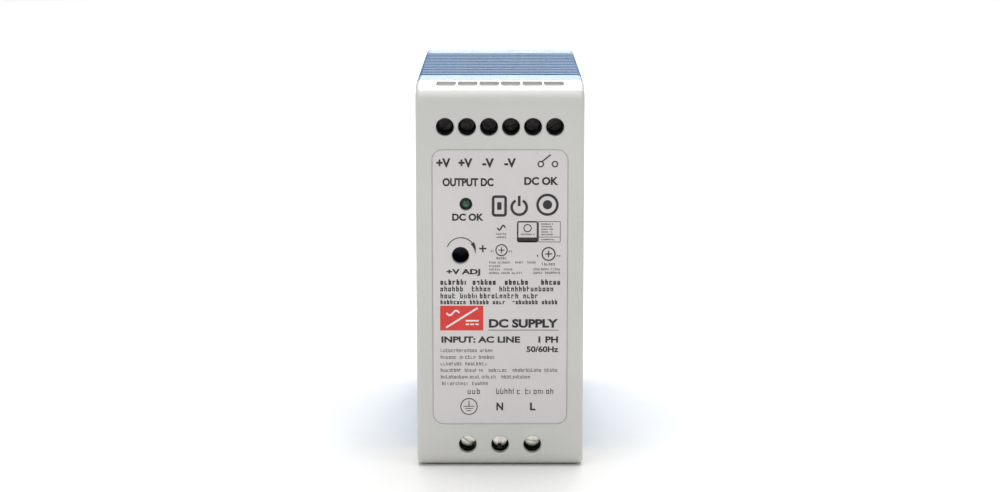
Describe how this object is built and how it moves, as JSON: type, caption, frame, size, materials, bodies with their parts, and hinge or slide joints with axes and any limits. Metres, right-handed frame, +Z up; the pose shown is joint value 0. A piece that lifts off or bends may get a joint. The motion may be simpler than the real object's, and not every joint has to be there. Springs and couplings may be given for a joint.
{
  "type": "din rail power supply",
  "caption": "Narrow DIN rail power supply: light grey front with screw terminals, vented blue rear casing, sliding rail clip behind.",
  "frame": {"origin": "middle of the footprint, level with the lowest point of the rail clip's tab", "axes": "+Z up as hung on a level rail, the front face looks along -Y, +X to the right seen from the front"},
  "size_m": [0.04, 0.1, 0.0916],
  "materials": {
    "cover_plastic": "fine-grained light grey moulding",
    "casing_plastic": "fine-grained blue moulding",
    "clip_plastic": "light grey acetal moulding",
    "label_film": "printed grey polyester film",
    "sticker_paper": "white thermal paper",
    "terminal_plastic": "dark green moulding",
    "screw_steel": "nickel-plated steel",
    "clamp_steel": "zinc-plated steel",
    "contact_copper": "tinned brass",
    "lamp_resin": "green tinted epoxy",
    "spacer_nylon": "black nylon",
    "trimmer_plastic": "dark blue thermoset",
    "rotor_plastic": "dark blue nylon",
    "front_board_laminate": "green solder mask on glass epoxy",
    "main_board_laminate": "green solder mask on glass epoxy",
    "capacitor_sleeve": "dark blue heat-shrink sleeve",
    "output_capacitor_sleeve": "black heat-shrink sleeve",
    "film_box": "yellow potting box",
    "choke_coating": "green powder-coated ring core",
    "enamelled_copper": "enamelled copper wire",
    "fuse_box": "black thermoplastic",
    "varistor_coating": "blue dipped epoxy",
    "thermistor_coating": "dark dipped epoxy",
    "disc_coating": "blue dipped epoxy",
    "package_epoxy": "black moulding compound",
    "dark_screw_steel": "black-passivated steel",
    "ferrite": "sintered ferrite",
    "bobbin_phenolic": "phenolic moulding",
    "winding_tape": "yellow polyester tape over copper",
    "heatsink_aluminium": "mill-finish aluminium",
    "relay_case": "dark blue case",
    "solder": "lead-free solder",
    "insulator": "clear-grained polyester sheet"
  },
  "bodies": {
    "housing": {"front_cover": "cover_plastic", "rear_casing": "casing_plastic", "rating_label": "label_film", "serial_label": "sticker_paper", "output_terminal_body": "terminal_plastic", "input_terminal_body": "terminal_plastic", "output_contacts": "contact_copper", "input_contacts": "contact_copper", "status_lamp": "lamp_resin", "lamp_spacer": "spacer_nylon", "trimmer_body": "trimmer_plastic", "front_board": "front_board_laminate", "main_board": "main_board_laminate", "bulk_capacitor": "capacitor_sleeve", "output_capacitors": "output_capacitor_sleeve", "output_choke": "output_capacitor_sleeve", "line_capacitor": "film_box", "line_choke_core": "choke_coating", "line_choke_windings": "enamelled_copper", "fuse": "fuse_box", "varistor": "varistor_coating", "inrush_thermistor": "thermistor_coating", "bridge_rectifier": "package_epoxy", "suppression_capacitors": "disc_coating", "transformer_core": "ferrite", "transformer_bobbin": "bobbin_phenolic", "transformer_winding": "winding_tape", "primary_heatsink": "heatsink_aluminium", "output_heatsink": "heatsink_aluminium", "switching_transistor": "package_epoxy", "output_rectifier": "package_epoxy", "heatsink_screws": "screw_steel", "alarm_relay": "relay_case", "optocouplers": "package_epoxy", "solder_joints": "solder", "surface_parts": "package_epoxy", "insulation_sheet": "insulator"},
    "output_screw_1": {"output_screw_1": "dark_screw_steel"},
    "output_clamp_1": {"output_clamp_1": "clamp_steel"},
    "output_screw_2": {"output_screw_2": "dark_screw_steel"},
    "output_clamp_2": {"output_clamp_2": "clamp_steel"},
    "output_screw_3": {"output_screw_3": "dark_screw_steel"},
    "output_clamp_3": {"output_clamp_3": "clamp_steel"},
    "output_screw_4": {"output_screw_4": "dark_screw_steel"},
    "output_clamp_4": {"output_clamp_4": "clamp_steel"},
    "output_screw_5": {"output_screw_5": "dark_screw_steel"},
    "output_clamp_5": {"output_clamp_5": "clamp_steel"},
    "output_screw_6": {"output_screw_6": "dark_screw_steel"},
    "output_clamp_6": {"output_clamp_6": "clamp_steel"},
    "input_screw_1": {"input_screw_1": "screw_steel"},
    "input_clamp_1": {"input_clamp_1": "clamp_steel"},
    "input_screw_2": {"input_screw_2": "screw_steel"},
    "input_clamp_2": {"input_clamp_2": "clamp_steel"},
    "input_screw_3": {"input_screw_3": "screw_steel"},
    "input_clamp_3": {"input_clamp_3": "clamp_steel"},
    "rail_clip": {"rail_clip": "clip_plastic"},
    "clip_leg_left": {"clip_leg_left": "clip_plastic"},
    "clip_leg_right": {"clip_leg_right": "clip_plastic"},
    "trimmer_rotor": {"trimmer_rotor": "rotor_plastic"}
  },
  "joints": [
    {"name": "clip_slide", "type": "slide", "parent": "housing", "child": "rail_clip", "axis": [0, 0, -1], "range_m": [0, 0.0024], "stiffness_N_per_m": 1000, "springref_m": -0.003},
    {"name": "leg_left_spread", "type": "hinge", "parent": "rail_clip", "child": "clip_leg_left", "pos_m": [-0.00535, 0.0474, 0.0133], "axis": [0, 1, 0], "range_deg": [-6.79, 0]},
    {"name": "leg_right_spread", "type": "hinge", "parent": "rail_clip", "child": "clip_leg_right", "pos_m": [0.00535, 0.0474, 0.0133], "axis": [0, 1, 0], "range_deg": [0, 6.79]},
    {"name": "output_clamp_1_lift", "type": "slide", "parent": "housing", "child": "output_clamp_1", "axis": [0, -1, 0], "range_m": [0, 0.0024]},
    {"name": "output_screw_1_turn", "type": "hinge", "parent": "housing", "child": "output_screw_1", "pos_m": [-0.0127, -0.042, 0.0827], "axis": [0, 1, 0], "range_deg": [0, 1728.5]},
    {"name": "output_clamp_2_lift", "type": "slide", "parent": "housing", "child": "output_clamp_2", "axis": [0, -1, 0], "range_m": [0, 0.0024]},
    {"name": "output_screw_2_turn", "type": "hinge", "parent": "housing", "child": "output_screw_2", "pos_m": [-0.00762, -0.042, 0.0827], "axis": [0, 1, 0], "range_deg": [0, 1728.5]},
    {"name": "output_clamp_3_lift", "type": "slide", "parent": "housing", "child": "output_clamp_3", "axis": [0, -1, 0], "range_m": [0, 0.0024]},
    {"name": "output_screw_3_turn", "type": "hinge", "parent": "housing", "child": "output_screw_3", "pos_m": [-0.00254, -0.042, 0.0827], "axis": [0, 1, 0], "range_deg": [0, 1728.5]},
    {"name": "output_clamp_4_lift", "type": "slide", "parent": "housing", "child": "output_clamp_4", "axis": [0, -1, 0], "range_m": [0, 0.0024]},
    {"name": "output_screw_4_turn", "type": "hinge", "parent": "housing", "child": "output_screw_4", "pos_m": [0.00254, -0.042, 0.0827], "axis": [0, 1, 0], "range_deg": [0, 1728.5]},
    {"name": "output_clamp_5_lift", "type": "slide", "parent": "housing", "child": "output_clamp_5", "axis": [0, -1, 0], "range_m": [0, 0.0024]},
    {"name": "output_screw_5_turn", "type": "hinge", "parent": "housing", "child": "output_screw_5", "pos_m": [0.00762, -0.042, 0.0827], "axis": [0, 1, 0], "range_deg": [0, 1728.5]},
    {"name": "output_clamp_6_lift", "type": "slide", "parent": "housing", "child": "output_clamp_6", "axis": [0, -1, 0], "range_m": [0, 0.0024]},
    {"name": "output_screw_6_turn", "type": "hinge", "parent": "housing", "child": "output_screw_6", "pos_m": [0.0127, -0.042, 0.0827], "axis": [0, 1, 0], "range_deg": [0, 1728.5]},
    {"name": "input_clamp_1_lift", "type": "slide", "parent": "housing", "child": "input_clamp_1", "axis": [0, -1, 0], "range_m": [0, 0.003]},
    {"name": "input_screw_1_turn", "type": "hinge", "parent": "housing", "child": "input_screw_1", "pos_m": [-0.00762, -0.042, 0.0072], "axis": [0, 1, 0], "range_deg": [0, 2160.5]},
    {"name": "input_clamp_2_lift", "type": "slide", "parent": "housing", "child": "input_clamp_2", "axis": [0, -1, 0], "range_m": [0, 0.003]},
    {"name": "input_screw_2_turn", "type": "hinge", "parent": "housing", "child": "input_screw_2", "pos_m": [0, -0.042, 0.0072], "axis": [0, 1, 0], "range_deg": [0, 2160.5]},
    {"name": "input_clamp_3_lift", "type": "slide", "parent": "housing", "child": "input_clamp_3", "axis": [0, -1, 0], "range_m": [0, 0.003]},
    {"name": "input_screw_3_turn", "type": "hinge", "parent": "housing", "child": "input_screw_3", "pos_m": [0.00762, -0.042, 0.0072], "axis": [0, 1, 0], "range_deg": [0, 2160.5]},
    {"name": "trimmer_turn", "type": "hinge", "parent": "housing", "child": "trimmer_rotor", "pos_m": [-0.0092, -0.04, 0.0526], "axis": [0, 1, 0], "range_deg": [-140, 140]}
  ],
  "couplings": [
    {"joint": "leg_left_spread", "follows": "clip_slide", "rad_per_m": -49},
    {"joint": "leg_right_spread", "follows": "clip_slide", "rad_per_m": 49},
    {"joint": "output_screw_1_turn", "follows": "output_clamp_1_lift", "rad_per_m": 12566},
    {"joint": "output_screw_2_turn", "follows": "output_clamp_2_lift", "rad_per_m": 12566},
    {"joint": "output_screw_3_turn", "follows": "output_clamp_3_lift", "rad_per_m": 12566},
    {"joint": "output_screw_4_turn", "follows": "output_clamp_4_lift", "rad_per_m": 12566},
    {"joint": "output_screw_5_turn", "follows": "output_clamp_5_lift", "rad_per_m": 12566},
    {"joint": "output_screw_6_turn", "follows": "output_clamp_6_lift", "rad_per_m": 12566},
    {"joint": "input_screw_1_turn", "follows": "input_clamp_1_lift", "rad_per_m": 12566},
    {"joint": "input_screw_2_turn", "follows": "input_clamp_2_lift", "rad_per_m": 12566},
    {"joint": "input_screw_3_turn", "follows": "input_clamp_3_lift", "rad_per_m": 12566}
  ]
}
